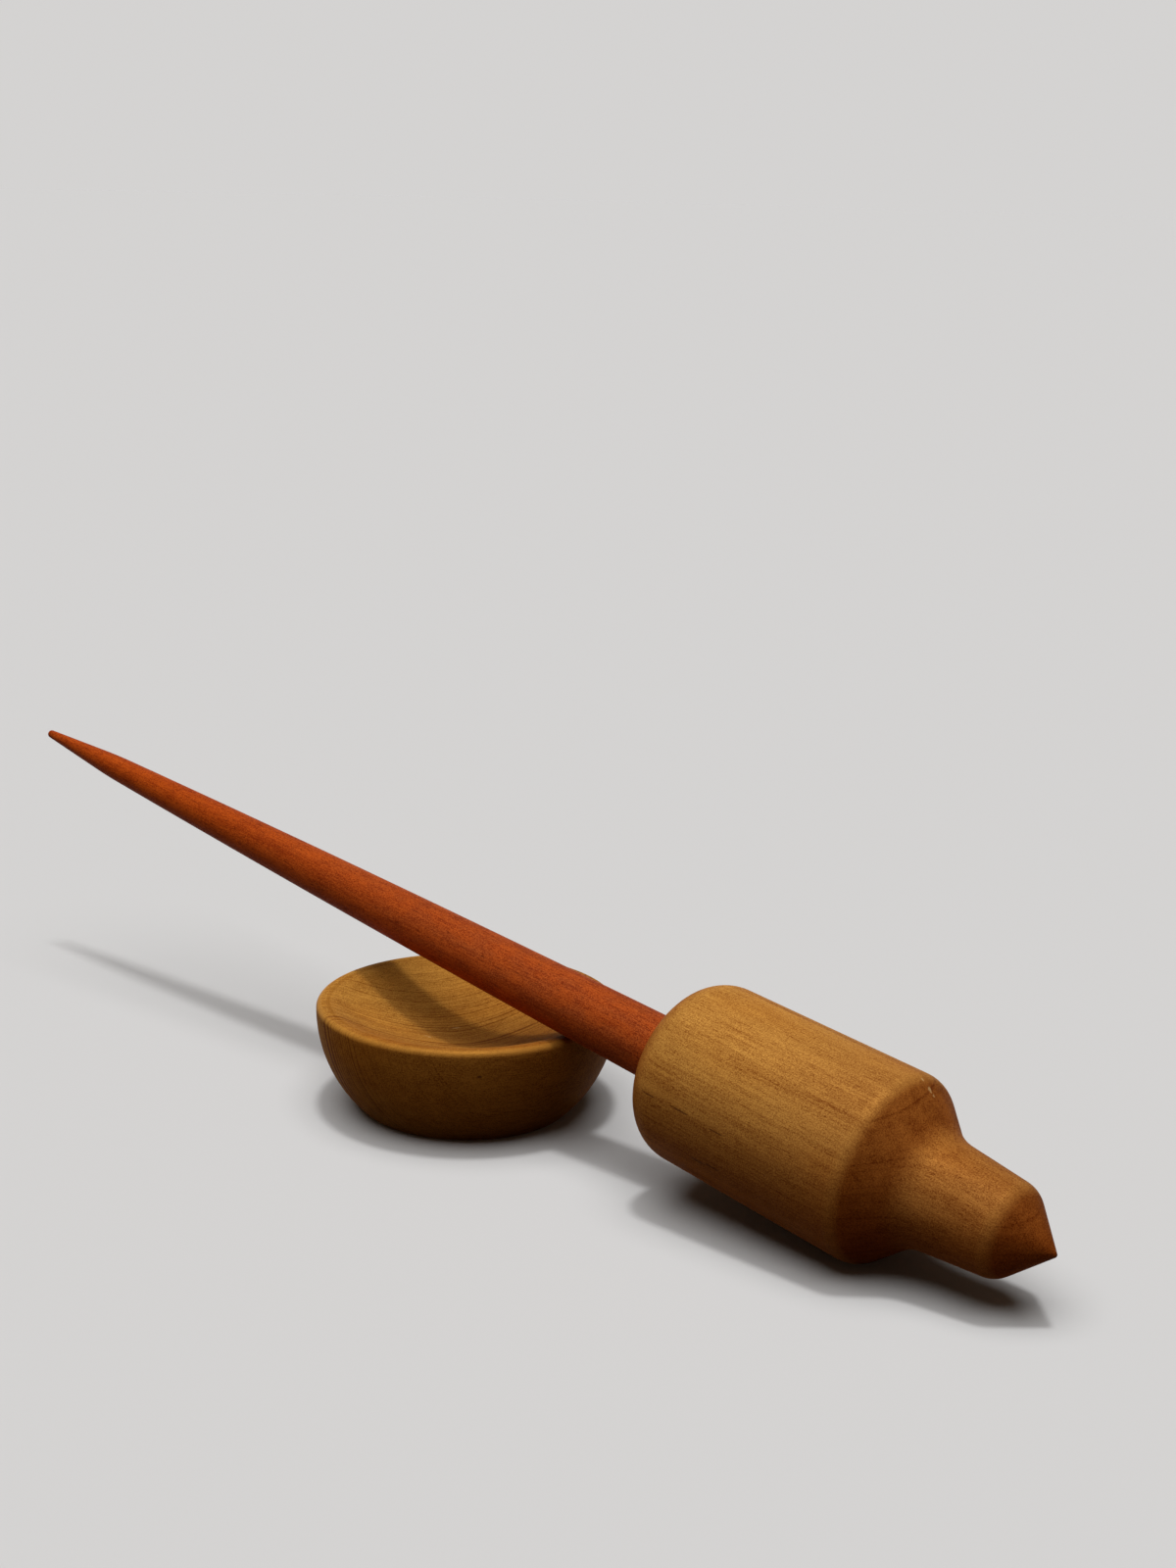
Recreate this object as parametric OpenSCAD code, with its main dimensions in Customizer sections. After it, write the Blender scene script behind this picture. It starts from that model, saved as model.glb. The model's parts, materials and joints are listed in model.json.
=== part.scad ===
// Support spindle leaning on its bowl: a tapered shaft glued into a turned whorl with a pointed
// nose, and a shallow bowl in which the nose spins. Millimetres, +Z up. The origin is the middle
// of the bowl's foot. The spindle lies in the plane y = 0 with its nose towards +X: the rounding
// of its shoulder touches the table and the rim of the bowl carries its shaft.

/* [Shaft] */
// Length of shaft that stands out of the whorl
shaft_length = 208; // [150:1:260]
// Diameter where the shaft leaves the whorl, and of its tenon
shaft_d = 13.2; // [12:0.1:16]
// Diameter half way along the taper
shaft_middle_d = 10.4; // [9.5:0.1:12.5]
// Diameter where the point begins
shaft_point_d = 5.6; // [5:0.1:8]
// Length of the point at the far end
shaft_point_length = 26; // [15:1:35]
// Diameter of the point at its rounded end
shaft_tip_d = 1.8; // [1.5:0.1:4.5]
// Radius of the soft bend between the taper and the point
point_blend = 200; // [50:10:400]
// Length of the tenon inside the whorl
tenon_length = 30; // [15:1:40]
// Chamfer on the end of the tenon
tenon_chamfer = 1; // [0.5:0.1:2]

/* [Whorl] */
// Diameter of the barrel at the shoulder
whorl_d = 36.9; // [32:0.1:46]
// Diameter of the barrel at its back
whorl_back_d = 35.6; // [30:0.1:40]
// Length of the barrel
whorl_length = 51.2; // [45:0.1:70]
// Rounding of the barrel's back edge
back_round = 7.8; // [2:0.1:8]
// Length of the sloping shoulder
shoulder_length = 8.7; // [6:0.1:14]
// Rounding between the shoulder and the barrel
shoulder_round = 4.8; // [2:0.1:6]
// Bevel on the mouth of the bore
mouth_bevel = 0.3; // [0.1:0.1:1]

/* [Nose] */
// Diameter of the neck at the shoulder
neck_d = 21.2; // [18:0.1:28]
// Diameter of the neck at the nose
neck_front_d = 17.8; // [16:0.1:22]
// Length of the neck
neck_length = 17.1; // [12:0.1:26]
// Hollow rounding between the neck and the shoulder
neck_fillet = 9.4; // [4:0.1:12]
// Length of the pointed nose
nose_length = 9.2; // [6:0.1:14]
// Rounding between the nose and the neck
nose_edge_round = 5.3; // [2:0.1:7]
// Radius of the nose's blunt point
nose_point_round = 0.6; // [0.3:0.1:2]

/* [Bowl] */
// Diameter of the bowl across its rim
bowl_d = 62.7; // [50:0.1:80]
// Height of the bowl
bowl_h = 22.5; // [18:0.1:28]
// Radius of the wall's outward curve from the foot to the rim
bowl_wall_round = 28.3; // [28:0.1:60]
// Radius of the rim's outer rounding
rim_round = 1.3; // [0.8:0.1:2.5]
// Radius of the soft roll from the rim into the dish
lip_round = 7; // [2:0.1:10]
// Depth of the dish below the rim, before its middle is rounded
dish_depth = 9; // [6:0.5:12]
// Slope of the dish towards its middle, in degrees
dish_slope = 6; // [0:0.5:7]
// Radius of the dish's rounded middle
pit_round = 20; // [5:1:30]
// Rounding of the foot's edge
foot_round = 1; // [0.5:0.1:3]

/* [Rest and fits] */
// Distance along the shaft from the whorl to the point that lies on the rim
rest_from_whorl = 27.3; // [20:0.1:60]
// Clearance between the shaft and the rim
rest_gap = 0.15; // [0.05:0.05:0.5]
// Clearance for glue round the tenon
glue_gap = 0.05; // [0.02:0.01:0.2]
// Space for glue at the end of the tenon
glue_pocket = 0.8; // [0.3:0.1:3]

/* [Hidden] */
$fn = 128;
// Farthest that an outline's chords may lie inside its arcs
arc_error = 0.01;
// Number of straight runs along the shaft's taper
taper_runs = 24;
// Largest share of a run, or of the tip's radius, that a rounding may take
round_share = 0.95;

// Places along the spindle's axis, from the sharp point of its nose
neck_front = nose_length;
neck_back = neck_front + neck_length;
barrel_front = neck_back + shoulder_length;
barrel_back = barrel_front + whorl_length;
taper_length = shaft_length - shaft_point_length;
shaft_end = barrel_back + shaft_length;
tenon_end = barrel_back - tenon_length;

function unit(v) = v / norm(v);

// Points on an arc, as many as keep its chords within arc_error
function arc(centre, radius, first, last) =
    let (
        step = 2 * acos(1 - arc_error / radius),
        count = ceil(abs(last - first) / step)
    )
    [for (i = [0 : count])
        let (angle = first + (last - first) * i / count)
        centre + radius * [cos(angle), sin(angle)]];

// Side to which the path a, b, c turns: 1 is left and -1 is right
function turn_side(a, b, c) =
    sign((b - a).x * (c - b).y - (b - a).y * (c - b).x);

// Angle by which the path a, b, c turns at b
function turn_angle(a, b, c) = acos(unit(b - a) * unit(c - b));

// Centre of the arc of a given radius that rounds the corner b of the path a, b, c
function corner_centre(a, b, c, radius) =
    let (
        along = unit(b - a),
        start = b - along * radius * tan(turn_angle(a, b, c) / 2)
    )
    start + turn_side(a, b, c) * radius * [-along.y, along.x];

// Points that round the corner b of the path a, b, c
function corner(a, b, c, radius) =
    let (
        centre = corner_centre(a, b, c, radius),
        across = turn_side(a, b, c) * [unit(b - a).y, -unit(b - a).x],
        first = atan2(across.y, across.x)
    )
    arc(centre, radius, first, first + turn_side(a, b, c) * turn_angle(a, b, c));

// Radius of the shaft at a distance from the whorl: a parabola through its three diameters
function shaft_radius(distance) =
    let (share = distance / taper_length)
    shaft_d / 2 * (1 - share) * (1 - 2 * share)
        + shaft_middle_d / 2 * 4 * share * (1 - share)
        + shaft_point_d / 2 * share * (2 * share - 1);

// Growth of the shaft's radius per millimetre at a distance from the whorl
function shaft_slope(distance) =
    let (share = distance / taper_length)
    (shaft_d / 2 * (4 * share - 3)
        + shaft_middle_d / 2 * (4 - 8 * share)
        + shaft_point_d / 2 * (4 * share - 1)) / taper_length;

// Corners of the whorl's outline as [radius, place along the axis], before they are rounded
nose_point = [0, 0];
nose_edge = [neck_front_d / 2, neck_front];
neck_root = [neck_d / 2, neck_back];
shoulder_edge = [whorl_d / 2, barrel_front];
back_edge = [whorl_back_d / 2, barrel_back];
back_middle = [0, barrel_back];
bore_r = shaft_d / 2 + glue_gap;
bore_end = tenon_end - glue_pocket;

// Blunt point of the nose: a ball of nose_point_round that the cone touches
nose_half_angle = atan2(nose_edge.x, nose_edge.y);
nose_ball = [0, nose_point_round / sin(nose_half_angle)];

// Rim and curves of the bowl as [radius, height]
rim_centre = [bowl_d / 2 - rim_round, bowl_h - rim_round];
wall_centre = [bowl_d / 2 - bowl_wall_round, rim_centre.y];
foot_centre = [wall_centre.x + sqrt((bowl_wall_round - foot_round) ^ 2 - (wall_centre.y - foot_round) ^ 2),
    foot_round];
wall_foot_angle = atan2(foot_centre.y - wall_centre.y, foot_centre.x - wall_centre.x);
lip_centre = [rim_centre.x, bowl_h - lip_round];
dish_bottom = bowl_h - dish_depth;

// The dish's arc touches the lip's roll and comes to the middle at dish_slope
dish_round = (lip_centre.x ^ 2 + (dish_bottom - lip_centre.y) ^ 2 - lip_round ^ 2)
    / (2 * (lip_round + (lip_centre.y - dish_bottom) * cos(dish_slope) - lip_centre.x * sin(dish_slope)));
dish_centre = [-dish_round * sin(dish_slope), dish_bottom + dish_round * cos(dish_slope)];
lip_dish_angle = atan2(dish_centre.y - lip_centre.y, dish_centre.x - lip_centre.x);
pit_centre = [0, dish_centre.y - sqrt((dish_round - pit_round) ^ 2 - dish_centre.x ^ 2)];
pit_angle = atan2(pit_centre.y - dish_centre.y, -dish_centre.x);

// Lean of the spindle. Its shoulder's rounding, a ring of balls, stands on the table, and the
// rim's rounding touches the shaft's underside at rest_from_whorl. Both centres are known along
// and across the axis, so the height between them gives the angle.
shoulder_centre = corner_centre(neck_root, shoulder_edge, back_edge, shoulder_round);
shaft_normal = unit([1, -shaft_slope(rest_from_whorl)]);
rest_point = [shaft_radius(rest_from_whorl), barrel_back + rest_from_whorl];
rest_centre = rest_point + (rim_round + rest_gap) * shaft_normal;
rest_arm = rest_centre - shoulder_centre;
rest_rise = rim_centre.y - shoulder_round;
lean = atan2(rest_arm.x, rest_arm.y) + asin(rest_rise / norm(rest_arm));
nose_x = rim_centre.x + rest_centre.y * cos(lean) + rest_centre.x * sin(lean);
nose_z = shoulder_round + shoulder_centre.x * cos(lean) - shoulder_centre.y * sin(lean);

// The axis that the spindle spins about
echo(lean = lean, nose_x = nose_x, nose_z = nose_z);

// Sets a piece that stands on +Z, nose down, in the spindle's place
module leaning() {
    translate([nose_x, 0, nose_z])
        rotate([0, lean - 90, 0])
            children();
}

// Tapered stick with a round tenon at one end and a blunt point at the other
module shaft() {
    taper = [for (i = [0 : taper_runs])
        let (distance = taper_length * i / taper_runs)
        [shaft_radius(distance), barrel_back + distance]];
    before_point = taper[taper_runs - 1];
    point_edge = taper[taper_runs];
    tip_edge = [shaft_tip_d / 2, shaft_end];
    tip_middle = [0, shaft_end];
    bend = turn_angle(before_point, point_edge, tip_edge);
    room = round_share * min(norm(point_edge - before_point), shaft_point_length - shaft_tip_d / 2);
    outline = concat(
        [[0, tenon_end]],
        [[shaft_d / 2 - tenon_chamfer, tenon_end]],
        [[shaft_d / 2, tenon_end + tenon_chamfer]],
        [for (i = [0 : taper_runs - 1]) taper[i]],
        corner(before_point, point_edge, tip_edge, min(point_blend, room / tan(bend / 2))),
        corner(point_edge, tip_edge, tip_middle, round_share * shaft_tip_d / 2),
        [tip_middle]
    );
    color([0.60, 0.26, 0.10])
        leaning()
            rotate_extrude()
                polygon(outline);
}

// Barrel, shoulder, neck and pointed nose turned in one, with a blind bore for the tenon
module whorl() {
    outline = concat(
        arc(nose_ball, nose_point_round, -90, -nose_half_angle),
        corner(nose_point, nose_edge, neck_root, nose_edge_round),
        corner(nose_edge, neck_root, shoulder_edge, neck_fillet),
        corner(neck_root, shoulder_edge, back_edge, shoulder_round),
        corner(shoulder_edge, back_edge, back_middle, back_round),
        [[bore_r + mouth_bevel, barrel_back]],
        [[bore_r, barrel_back - mouth_bevel]],
        [[bore_r, bore_end]],
        [[0, bore_end]]
    );
    color([0.70, 0.47, 0.22])
        leaning()
            rotate_extrude()
                polygon(outline);
}

// Shallow dish with a soft lip on a wall that curves in to a flat foot
module bowl() {
    outline = concat(
        [[0, 0]],
        arc(foot_centre, foot_round, -90, wall_foot_angle),
        arc(wall_centre, bowl_wall_round, wall_foot_angle, 0),
        arc(rim_centre, rim_round, 0, 90),
        arc(lip_centre, lip_round, 90, lip_dish_angle),
        arc(dish_centre, dish_round, lip_dish_angle - 180, pit_angle),
        arc(pit_centre, pit_round, pit_angle, -90)
    );
    color([0.70, 0.47, 0.22])
        rotate_extrude()
            polygon(outline);
}

shaft();
whorl();
bowl();
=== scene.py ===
"""Looks of a support spindle that leans on its bowl: three turned pieces, two oiled woods and a plain studio.

Everything is in metres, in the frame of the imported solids: the origin is the middle of the bowl's foot, +Z is
up, and the spindle leans in the plane y = 0 with its nose towards +X. The pieces are turned on the same
outlines as the solids that they stand for, and the spindle's place comes from the joint that it spins about.
"""

from __future__ import annotations

import json
import logging
import math
from collections.abc import Mapping, Sequence
from dataclasses import dataclass
from enum import Enum

import bmesh
import bpy
from mathutils import Euler, Matrix, Vector

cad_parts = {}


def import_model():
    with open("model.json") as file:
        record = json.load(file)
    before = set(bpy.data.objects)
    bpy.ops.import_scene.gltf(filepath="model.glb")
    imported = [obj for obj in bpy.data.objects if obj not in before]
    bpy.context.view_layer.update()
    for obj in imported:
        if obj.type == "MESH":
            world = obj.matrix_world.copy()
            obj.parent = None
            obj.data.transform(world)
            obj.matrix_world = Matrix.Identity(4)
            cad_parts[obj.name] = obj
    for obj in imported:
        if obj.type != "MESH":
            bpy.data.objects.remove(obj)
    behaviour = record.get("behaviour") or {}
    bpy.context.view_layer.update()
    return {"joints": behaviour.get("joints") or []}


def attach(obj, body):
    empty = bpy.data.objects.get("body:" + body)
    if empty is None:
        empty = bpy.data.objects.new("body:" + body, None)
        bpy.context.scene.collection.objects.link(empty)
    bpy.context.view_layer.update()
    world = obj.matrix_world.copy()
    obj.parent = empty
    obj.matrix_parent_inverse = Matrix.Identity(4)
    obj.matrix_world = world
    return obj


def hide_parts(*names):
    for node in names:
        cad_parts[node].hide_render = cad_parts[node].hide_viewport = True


MM = 0.001
LOG = logging.getLogger("support_spindle")

Colour = tuple[float, float, float]


class Trait(Enum):
    """What the lathe stores on every point of a turned piece, for its finish to read."""

    END_GRAIN = "end_grain"
    WEAR = "wear"
    RUN = "run"


class Body(Enum):
    """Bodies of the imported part."""

    BOWL = "bowl"
    SPINDLE = "spindle"


class Slot(Enum):
    """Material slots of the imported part."""

    RED_WOOD = "red_wood"
    PALE_WOOD = "pale_wood"


class Socket:
    """An output socket with arithmetic: an expression on values adds its Math nodes to the graph."""

    def __init__(self, graph: Graph, source: bpy.types.NodeSocket) -> None:
        """Wraps a socket.

        Args:
            graph: Graph that holds the socket's node.
            source: The output socket.
        """
        self.graph = graph
        self.source = source

    def out(self, name: str) -> Socket:
        """Another output of the same node, by its name."""
        return Socket(self.graph, self.source.node.outputs[name])

    def __add__(self, other: Feed) -> Socket:
        """Sum."""
        return self.graph.math("ADD", self, other)

    def __radd__(self, other: Feed) -> Socket:
        """Sum with a number on the left."""
        return self.graph.math("ADD", other, self)

    def __sub__(self, other: Feed) -> Socket:
        """Difference."""
        return self.graph.math("SUBTRACT", self, other)

    def __rsub__(self, other: Feed) -> Socket:
        """Difference with a number on the left."""
        return self.graph.math("SUBTRACT", other, self)

    def __mul__(self, other: Feed) -> Socket:
        """Product."""
        return self.graph.math("MULTIPLY", self, other)

    def __rmul__(self, other: Feed) -> Socket:
        """Product with a number on the left."""
        return self.graph.math("MULTIPLY", other, self)

    def __truediv__(self, other: Feed) -> Socket:
        """Quotient."""
        return self.graph.math("DIVIDE", self, other)

    def __rtruediv__(self, other: Feed) -> Socket:
        """Quotient with a number on the left."""
        return self.graph.math("DIVIDE", other, self)

    def __pow__(self, other: Feed) -> Socket:
        """Power."""
        return self.graph.math("POWER", self, other)


Feed = Socket | float | int | str | Sequence[float] | bpy.types.ID


class Graph:
    """A node tree, with one method that adds any node and a few that name the common ones."""

    def __init__(self, tree: bpy.types.NodeTree) -> None:
        """Starts on an empty tree.

        Args:
            tree: The node tree to fill.
        """
        self.tree = tree
        self.tree.nodes.clear()

    def node(
        self,
        kind: str,
        settings: Mapping[str, object] | None = None,
        inputs: Mapping[str, Feed] | Sequence[Feed] = (),
    ) -> Socket:
        """Adds a node.

        Args:
            kind: Blender's name for the node's type.
            settings: Properties of the node, which are set before its sockets.
            inputs: Values or links, by socket name or in the sockets' order.

        Returns:
            The node's first output that is in use.
        """
        node = self.tree.nodes.new(kind)
        for name, value in (settings or {}).items():
            setattr(node, name, value)
        pairs = inputs.items() if isinstance(inputs, Mapping) else enumerate(inputs)
        for key, value in pairs:
            target = node.inputs[key] if isinstance(key, int) else self._input(node, key)
            if isinstance(value, Socket):
                self.tree.links.new(value.source, target)
            else:
                target.default_value = value
        return Socket(self, next((s for s in node.outputs if s.enabled), None))

    @staticmethod
    def _input(node: bpy.types.Node, name: str) -> bpy.types.NodeSocket:
        """The input of that name which the node's settings leave in use."""
        return next(s for s in node.inputs if s.name == name and s.enabled)

    def math(self, operation: str, *values: Feed) -> Socket:
        """A Math node on numbers."""
        return self.node("ShaderNodeMath", {"operation": operation}, values)

    def vector(self, operation: str, *values: Feed) -> Socket:
        """A Vector Math node."""
        return self.node("ShaderNodeVectorMath", {"operation": operation}, values)

    def split(self, vector: Socket) -> tuple[Socket, Socket, Socket]:
        """The three numbers of a vector."""
        parts = self.node("ShaderNodeSeparateXYZ", None, [vector])
        return parts.out("X"), parts.out("Y"), parts.out("Z")


class WoodGraph(Graph):
    """A material's nodes in the axes of its grain: millimetres, with z along the fibres.

    Attributes:
        MEAN: Average of a noise.
        LINE_DETAIL: Number of finer layers in noise along one number.
        STRAY_CELLS: Cells per millimetre of the noise that makes the rings stray.
        STRAY_DETAIL: Number of its finer layers.
        WIDTH_RUN: Number of rings over which their width changes.
        WIDTH_SWING: Number of rings by which their count strays with it.
        LATE_FROM: Share of a ring at which its late edge begins to darken.
        LATE_PEAK: Share of a ring at which it is darkest.
        FAINTEST: Darkness of the faintest ring.
        CONTRAST: How rare the dark rings are.
        RISE_BEFORE: Distance before clear_from at which the rings begin to come up, in millimetres.
        RISE_AFTER: Distance after clear_from at which they are all there, in millimetres.
        FADE: Distance over which they fade after clear_to, in millimetres.
        FADED: Darkness left in the faded rings.
        SANDING_GAP: Usual distance between the sandpaper's lines, in millimetres.
        RAG_WIDTH: Width of a mark's rags, as a share of its half width.
        RAG_LENGTH: Length of its rags, as a share of its half length.
        RAG_DEPTH: How deep they go.
        MARK_EDGE: Share of a mark's size at which it begins to fade.
    """

    MEAN = 0.5
    LINE_DETAIL = 2.0
    STRAY_CELLS = (0.04, 0.04, 0.009)
    STRAY_DETAIL = 3.0
    WIDTH_RUN = 6.0
    WIDTH_SWING = 3.0
    LATE_FROM = 0.5
    LATE_PEAK = 0.92
    FAINTEST = 0.2
    CONTRAST = 2.5
    RISE_BEFORE = 8.0
    RISE_AFTER = 4.0
    FADE = 14.0
    FADED = 0.25
    SANDING_GAP = 0.25
    RAG_WIDTH = 0.7
    RAG_LENGTH = 0.5
    RAG_DEPTH = 1.2
    MARK_EDGE = 0.55

    def __init__(self, name: str, grain: GrainLie) -> None:
        """Makes a material and finds each point's place in the grain.

        Args:
            name: The material's name.
            grain: How the grain lies in the piece.
        """
        self.made: dict[Layer, Socket] = {}
        self.material = bpy.data.materials.new(name)
        self.material.use_nodes = True
        super().__init__(self.material.node_tree)
        coordinates = self.node("ShaderNodeTexCoord")
        self.place = self.node(
            "ShaderNodeMapping",
            {"vector_type": "TEXTURE"},
            {
                "Vector": coordinates.out("Object"),
                "Location": grain.start,
                "Rotation": grain.turn,
                "Scale": (MM, MM, MM),
            },
        )

    def trait(self, trait: Trait) -> Socket:
        """What the lathe stored for a point."""
        stored = self.node("ShaderNodeAttribute", {"attribute_name": trait.value})
        return stored.out("Fac")

    def along(self) -> Socket:
        """Place along the grain, in millimetres."""
        return self.split(self.place)[2]

    def step(self, value: Socket, start: float, end: float) -> Socket:
        """A soft step from 0 at the start to 1 at the end, whichever of the two is higher."""
        return self.node(
            "ShaderNodeMapRange",
            {"interpolation_type": "SMOOTHSTEP"},
            {"Value": value, "From Min": start, "From Max": end},
        )

    def noise(self, layer: Layer) -> Socket:
        """A layer's soft patches, which are made once for each layer.

        Args:
            layer: The layer.

        Returns:
            A number from 0 to 1, about MEAN on average.
        """
        if layer not in self.made:
            shares = (1 / layer.across, 1 / layer.across, 1 / layer.along)
            cells = self.vector("MULTIPLY", self.place, shares)
            moved = self.vector("ADD", cells, [layer.shift] * 3)
            sockets = {"Vector": moved, "Scale": 1.0, "Detail": layer.detail}
            self.made[layer] = self.node("ShaderNodeTexNoise", None, sockets)
        return self.made[layer]

    def patches(self, layer: Layer) -> Socket:
        """A layer's patches with edges: 1 in the patches and 0 between them."""
        return self.step(self.noise(layer), *layer.edges)

    def lines(self, value: Socket, gap: float) -> Socket:
        """Noise along one number, as lines about gap apart."""
        return self.node(
            "ShaderNodeTexNoise",
            {"noise_dimensions": "1D"},
            {"W": value / gap, "Scale": 1.0, "Detail": self.LINE_DETAIL},
        )

    def from_pith(self, grain: GrainLie, offset: Feed = (0.0, 0.0, 0.0)) -> Socket:
        """Distance from the middle of the tree, in millimetres.

        Args:
            grain: How the grain lies in the piece.
            offset: Moves each point before it is measured.

        Returns:
            The distance.
        """
        x, y, _ = self.split(self.vector("ADD", self.place, offset))
        return self.math("SQRT", (x - grain.pith[0]) ** 2 + (y - grain.pith[1]) ** 2)

    def rings(self, grain: GrainLie, gap: float, wander: float) -> Socket:
        """The tree's year rings, each one darker towards its late edge.

        Args:
            grain: How the grain lies in the piece.
            gap: Usual width of a ring in millimetres.
            wander: How far the rings stray, in millimetres.

        Returns:
            Darkness from 0 to 1.
        """
        cells = self.vector("MULTIPLY", self.place, self.STRAY_CELLS)
        sockets = {"Vector": cells, "Scale": 1.0, "Detail": self.STRAY_DETAIL}
        stray = self.node("ShaderNodeTexNoise", None, sockets).out("Color")
        offset = self.vector("SUBTRACT", stray, [self.MEAN] * 3)
        moved = self.vector("MULTIPLY", offset, [wander] * 3)
        distance = self.from_pith(grain, moved)
        count = distance / gap + self.WIDTH_SWING * self.lines(distance, self.WIDTH_RUN * gap)
        share = self.math("FRACT", count)
        strength = self.node(
            "ShaderNodeTexWhiteNoise", {"noise_dimensions": "1D"}, {"W": self.math("FLOOR", count)}
        )
        late = self.step(share, self.LATE_FROM, self.LATE_PEAK) * (1 - self.step(share, self.LATE_PEAK, 1.0))
        clear = self.step(distance, grain.clear_from - self.RISE_BEFORE, grain.clear_from + self.RISE_AFTER)
        clear = clear * (1 - self.step(distance, grain.clear_to, grain.clear_to + self.FADE))
        return late * self._from(self.FAINTEST, strength**self.CONTRAST) * self._from(self.FADED, clear)

    @staticmethod
    def _from(lowest: float, share: Socket) -> Socket:
        """A number that goes from its lowest to 1 with a share from 0 to 1."""
        return lowest + (1 - lowest) * share

    def turning(self, layer: Layer) -> Socket:
        """Faint lines that the sandpaper leaves round a turned piece, here and there.

        Args:
            layer: Patches in which they are left.

        Returns:
            A number about 0, which is 0 where the lines are worn away.
        """
        lines = self.lines(self.trait(Trait.RUN), self.SANDING_GAP)
        return (lines - self.MEAN) * self.patches(layer)

    def lay(self, shade: float, roughness: float, figure: Sequence[Layer], turning: Layer) -> list[Feed]:
        """Adds up what the layers of a wood's figure do to its shade, its relief and its roughness.

        Args:
            shade: Shade of the plain wood.
            roughness: Roughness of the plain wood.
            figure: Layers of the figure. One without edges counts as it differs from its mean.
            turning: Patches in which the sandpaper's lines are left.

        Returns:
            Shade, relief and roughness over the surface.
        """
        values = [self.patches(layer) if layer.edges else self.noise(layer) - self.MEAN for layer in figure]
        totals = [shade, self.MEAN, roughness]
        for layer, value in zip([*figure, turning], [*values, self.turning(turning)]):
            for index, share in enumerate((layer.shade, layer.relief, layer.dull)):
                if share:
                    totals[index] = totals[index] + share * value
        return totals

    def mark(self, mark: Mark) -> Socket:
        """A small mark in the wood, with a ragged edge.

        Args:
            mark: Its place and size.

        Returns:
            1 inside the mark and 0 away from it.
        """
        away = self.vector("SUBTRACT", self.place, mark.place)
        shares = self.vector("DIVIDE", away, (mark.across, mark.across, mark.along))
        distance = self.vector("LENGTH", shares).out("Value")
        rags = Layer(mark.across * self.RAG_WIDTH, mark.along * self.RAG_LENGTH)
        ragged = distance + self.RAG_DEPTH * (self.noise(rags) - self.MEAN)
        return 1 - self.step(ragged, self.MARK_EDGE, 1.0)

    def blend(self, factor: Feed, first: Feed, second: Feed, way: str = "MIX") -> Socket:
        """A Mix node on colours.

        Args:
            factor: Share of the second colour.
            first: Colour at a factor of 0.
            second: Colour at a factor of 1.
            way: How the second colour goes on the first.

        Returns:
            The mixed colour.
        """
        return self.node(
            "ShaderNodeMix",
            {"data_type": "RGBA", "blend_type": way},
            {"Factor": factor, "A": self._colour(first), "B": self._colour(second)},
        )

    @staticmethod
    def _colour(value: Feed) -> Feed:
        """A colour of three numbers gets its fourth; a link stays as it is."""
        return value if isinstance(value, Socket) else (*value, 1.0)

    def tint(self, factor: Feed, colour: Socket, tint: Colour) -> Socket:
        """A colour that is multiplied by a tint where the factor is 1."""
        return self.blend(factor, colour, tint, "MULTIPLY")

    def finish(self, colour: Socket, roughness: Socket, height: Socket, oil: Oil) -> bpy.types.Material:
        """Puts the surface's colour, roughness and fine relief on its shader.

        Args:
            colour: Colour over the surface.
            roughness: Roughness over the surface.
            height: Relief over the surface, from about 0 to 1.
            oil: The oil on the wood.

        Returns:
            The finished material.
        """
        bump = self.node("ShaderNodeBump", None, {"Strength": 1.0, "Distance": oil.relief, "Height": height})
        shader = self.node(
            "ShaderNodeBsdfPrincipled",
            None,
            {
                "Base Color": colour,
                "Roughness": roughness,
                "Metallic": oil.lustre,
                "Specular IOR Level": oil.gloss,
                "Specular Tint": (*oil.tint, 1.0),
                "Normal": bump,
            },
        )
        self.node("ShaderNodeOutputMaterial", None, {"Surface": shader})
        return self.material


@dataclass(frozen=True)
class GrainLie:
    """How a tree's grain lies in a piece.

    Attributes:
        start: Point from which the grain's own axes start, in metres.
        turn: Turn that takes +Z to the way of the fibres.
        pith: Place of the tree's middle across the grain, in millimetres.
        clear_from: Distance from the pith at which the rings begin to show well, in millimetres.
        clear_to: Distance from the pith at which they begin to fade, in millimetres.
    """

    start: Vector
    turn: Euler
    pith: tuple[float, float]
    clear_from: float = -1000.0
    clear_to: float = 1000.0

    def locate(self, point: Sequence[float]) -> Vector:
        """Place of a point in the grain's own axes.

        Args:
            point: The point in the part's frame, in millimetres.

        Returns:
            Its place in millimetres.
        """
        return self.turn.to_matrix().transposed() @ (Vector(point) - self.start / MM)


@dataclass(frozen=True)
class Mark:
    """A small mark in the wood, in millimetres along the grain's axes.

    Attributes:
        place: Middle of the mark.
        across: Half of its width.
        along: Half of its length.
    """

    place: Vector
    across: float
    along: float

    @classmethod
    def on_round(cls, along_axis: float, angle: float, radius: float, width: float, length: float) -> Mark:
        """A mark on a round piece whose grain runs along its axis.

        Args:
            along_axis: Place along the axis.
            angle: Angle round the axis, in degrees.
            radius: Radius of the piece there.
            width: Width of the mark.
            length: Length of the mark.

        Returns:
            The mark.
        """
        turn = math.radians(angle)
        place = Vector((radius * math.cos(turn), radius * math.sin(turn), along_axis))
        return cls(place, width / 2, length / 2)


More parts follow.
